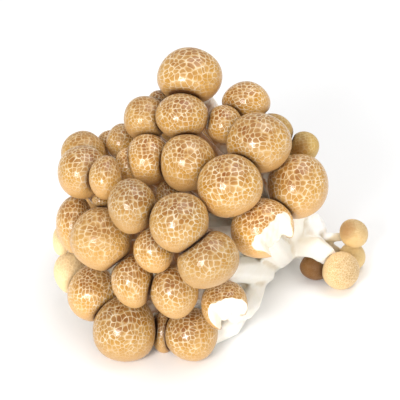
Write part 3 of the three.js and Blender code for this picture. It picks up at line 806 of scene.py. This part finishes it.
skinForm = {
    "otherLight": (0.96, 0.08),  # caps not named in moods: least brightness, and its range
    "lightStep": 0.618,  # of that range, from one such cap to the next
    "cellSize": (0.8, 0.1),  # millimetres, and how much more for each millimetre of radius
    "netSpread": (0.8, 1.2),  # shares of sine and tangent in the laid-out net
    "netStep": (17.3, 41.9),  # from one cap's part of the net's plane to the next one's
    "netLimit": 97,  # where the steps start again, so that the numbers stay small
    "patchShare": 0.8,
    "patchEdge": (0.55, 1.0),  # heights over the cap's middle, in radii
    "creaseShadeShare": 0.95,
    "darkLift": 0.4,  # how far the darkest place lies above the apex
    "darkLight": 0.86,  # brightness there
    "lightGain": 0.17,  # how much brighter the skin gets away from it
    "lightEdge": (0.14, 0.55),  # and between which shares of the skin's way
}


def layNet(cap, mood, form):
    # The net's plane is the crown laid out flat, so its cells shrink and stretch to the rim: a
    # point's distance from the apex there is a sum of the sine and tangent of half its way
    cellSize = (form["cellSize"][0] + form["cellSize"][1] * cap["radius"]) * mood["cell"]
    half = cap["way"] / 2
    spread = form["netSpread"][0] * np.sin(half) + form["netSpread"][1] * np.tan(half)
    spread = spread * cap["radius"] / cellSize
    offset = np.array(form["netStep"]) * cap["order"] % form["netLimit"]
    bearing = cap["bearing"]
    return np.stack([spread * np.cos(bearing), spread * np.sin(bearing)], 1) + offset


def darkWay(cap, form):
    # A cap is darkest, and its net strongest, round a middle that lies above its apex: the
    # angle from there, as a share of the skin's way
    above = cap["axis"] + form["darkLift"] * upFace
    rays = cap["points"] - cap["centre"]
    facing = (rays @ above) / np.linalg.norm(above) / np.linalg.norm(rays, axis=1)
    return np.arccos(np.clip(facing, -1, 1)) / skinWay


def darkenPatch(cap, mood, form):
    # The dark patch's share grows with a point's height along the patch's direction; a share all
    # over is painted shade
    darkPatch = np.zeros(len(cap["points"]))
    if "darkPatch" in mood:
        right, upwards = mood["darkPatch"]
        middle = np.array([right, upwards, math.sqrt(1 - right ** 2 - upwards ** 2)]) @ faceAxes
        facing = (cap["points"] - cap["centre"]) @ middle / cap["radius"]
        darkPatch = form["patchShare"] * smoothStep(facing, *form["patchEdge"])
    return np.maximum(darkPatch, mood.get("shadeAll", 0))


def buildCaps(form):
    caps = shapeCaps(capForm)
    pressCaps(caps, capForm)
    least, reach = form["otherLight"]
    for cap in caps:
        piece, loops = putMesh(cap["name"] + "_skin", cap["points"] + bunchShift,
                               *gridFaces(cap["rings"], cap["sides"]), capMaterial)
        mood = {**usualMood, **moods.get(cap["name"], {})}
        if cap["name"] not in moods:
            mood["light"] = least + reach * ((cap["order"] * form["lightStep"]) % 1)
        net = piece.data.uv_layers.new(name="net")
        net.uv.foreach_set("vector", layNet(cap, mood, form)[loops].astype(np.float32).ravel())
        away = darkWay(cap, form)
        # The brightness from moods is partly painted light and shade
        light = mood["light"] * (
            form["darkLight"] + form["lightGain"] * smoothStep(away, *form["lightEdge"]))
        # painted shade beside the pressed flats
        creaseShade = cap["creaseShade"] * form["creaseShadeShare"]
        share = (mood["net"], mood["pale"], mood["olive"])
        setLayer(piece, "place", np.stack([away, cap["flesh"], cap["under"]], 1))
        setLayer(piece, "mood", np.tile(share, (len(away), 1)))
        setLayer(piece, "tone", np.stack([light, creaseShade, darkenPatch(cap, mood, form)], 1))
        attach(piece, "root")
        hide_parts(cap["name"])
    print("caps made:", len(caps))
    return caps


caps = buildCaps(skinForm)

stemForm = {
    "voxel": 0.84,  # millimetres
    "smooth": (0.63, -0.64),  # shares of the way to the neighbours' mean, there and back
    "smoothRounds": 6,
    "hollowRounds": 15,  # further rounds, to find where stems meet in a hollow
    "hollowShadeDepth": 0.5,  # millimetres, over which the painted shade of a hollow grows
    "lookouts": 48,  # directions in which a place on the stems looks out between the caps
    "clearance": 1.7,  # a cap hides nothing within the root of this times its radius
    "smallOnes": ("cap_38", "cap_39", "cap_40", "cap_41"),  # and these hide nothing
    "open": (0.64, 0.42),  # shares of them that are free where the flesh is white, and where its painted shade is full
    "underFace": 0.4,  # painted shade needs flesh that looks out of the face, this squarely to be full
    "snapped": ((44.5, 49, 15), (54, 51, 20)),  # ends of the snapped stem's middle line
    "snapLightReach": (7.2, 5.6),  # millimetres from that line where its painted light begins and is full
    "snapShadow": (11, 7.2),  # and where the painted shadow round it does
    "snapShadowShare": 0.8,
    "snapWave": 0.3,  # height of the waves that roughen it, in millimetres
}


def smoothPoints(points, edges, shares, rounds):
    # In each round a point goes by each share of the way to the mean of its neighbours. A
    # share there and a like one back round facets off and keep the thickness.
    first, second = edges[:, 0], edges[:, 1]
    count = len(points)
    degree = np.bincount(first, minlength=count) + np.bincount(second, minlength=count)
    for turn in range(rounds):
        for share in shares:
            total = np.stack([
                np.bincount(first, points[second, axis], count)
                + np.bincount(second, points[first, axis], count)
                for axis in range(3)
            ], axis=1)
            points = points + share * (total / degree[:, None] - points)
    return points


def lookOut(points, caps, form):
    # Share of the directions, spread evenly over a sphere, in which no cap stands before a
    # point. A cap counts as a ball, and the torn ones and the four small ones don't count.
    count = form["lookouts"]
    step = np.arange(count) + 0.5
    tilt = np.arccos(1 - 2 * step / count)
    turn = math.pi * (1 + math.sqrt(5)) * step
    ways = np.stack([np.cos(turn) * np.sin(tilt), np.sin(turn) * np.sin(tilt), np.cos(tilt)], 1)
    whole = [cap for cap in caps
             if not cap["flesh"].any() and cap["name"] not in form["smallOnes"]]
    centres = np.array([cap["centre"] for cap in whole], np.float32)
    radii = np.array([cap["radius"] for cap in whole], np.float32) ** 2  # squares, as reach is
    away = centres[None] - points[:, None].astype(np.float32)
    reach = (away ** 2).sum(2)
    free = np.zeros(len(points))
    for way in ways.astype(np.float32):
        along = away @ way
        blocked = (along > 0) & (reach - along ** 2 < radii) & (reach > radii * form["clearance"])
        free += ~blocked.any(1)
    return free / count


def remeshStems(form):
    # The stems' solid, copied, merged and laid over with an even grid
    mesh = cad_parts["stems_and_base"].data.copy()
    mesh.name = "stems_flesh"
    mesh.materials.clear()
    piece = bpy.data.objects.new("stems_flesh", mesh)
    scene.collection.objects.link(piece)
    weld = piece.modifiers.new("weld", "WELD")
    weld.merge_threshold = 1e-6
    remesh = piece.modifiers.new("remesh", "REMESH")
    remesh.mode = "VOXEL"
    remesh.voxel_size = form["voxel"] * mm
    remesh.use_smooth_shade = True
    bpy.context.view_layer.update()
    evaluated = piece.evaluated_get(bpy.context.evaluated_depsgraph_get())
    fine = bpy.data.meshes.new_from_object(evaluated)
    piece.modifiers.clear()
    piece.data = fine
    fine.name = "stems_flesh"
    return piece, fine


def readArray(items, field, width, kind=float):
    # One row of numbers for each vertex or edge
    values = np.empty(len(items) * width, kind)
    items.foreach_get(field, values)
    return values.reshape(-1, width)


def putPoints(mesh, points):
    mesh.vertices.foreach_set("co", points.astype(np.float32).ravel())
    mesh.update()


def buildStems(form, caps):
    piece, fine = remeshStems(form)
    points = readArray(fine.vertices, "co", 3)
    edges = readArray(fine.edges, "vertices", 2, int)
    points = smoothPoints(points, edges, form["smooth"], form["smoothRounds"])
    points[:, 2] = np.maximum(points[:, 2], 0)
    putPoints(fine, points)
    fine.shade_smooth()
    fine.materials.clear()
    fine.materials.append(stemMaterial)
    # A hollow lies further in than the same place after more smoothing, and gets painted shade
    normals = readArray(fine.vertices, "normal", 3)
    calm = smoothPoints(points, edges, (0.5,), form["hollowRounds"])
    depth = ((calm - points) * normals).sum(1) / mm
    hollowShade = smoothStep(depth, 0, form["hollowShadeDepth"])
    # Painted shade: flesh that looks out of the face, deep between its caps, is painted brown
    places = points / mm - bunchShift
    deepShade = smoothStep(lookOut(places, caps, form), *form["open"])
    deepShade = deepShade * smoothStep(normals @ outOfFace, 0, form["underFace"])
    # The snapped stem's painted light runs out with the distance from a line along its middle
    first, last = (np.array(end) for end in form["snapped"])
    line = last - first
    local = places - first
    along = np.clip(local @ line / (line @ line), 0, 1)
    distance = np.linalg.norm(local - along[:, None] * line, axis=1)
    snapLight = smoothStep(distance, *form["snapLightReach"])
    # Painted shadow in a ring just outside the snapped stem
    beside = smoothStep(distance, *form["snapShadow"]) * (1 - snapLight)
    hollowShade = np.maximum(hollowShade, form["snapShadowShare"] * beside)
    # Sines multiplied, with waves about 3 mm long, roughen the snapped stem
    wave = np.sin(2.1 * local[:, 0] + 1.2 * local[:, 1]) * np.sin(1.9 * local[:, 2] - local[:, 1])
    push = form["snapWave"] * snapLight * wave * mm
    putPoints(fine, points + push[:, None] * normals)
    setLayer(piece, "tone", np.stack([deepShade, hollowShade, snapLight], 1))
    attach(piece, "root")
    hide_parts("stems_and_base")
    print("stems made:", len(fine.polygons), "faces")


buildStems(stemForm, caps)
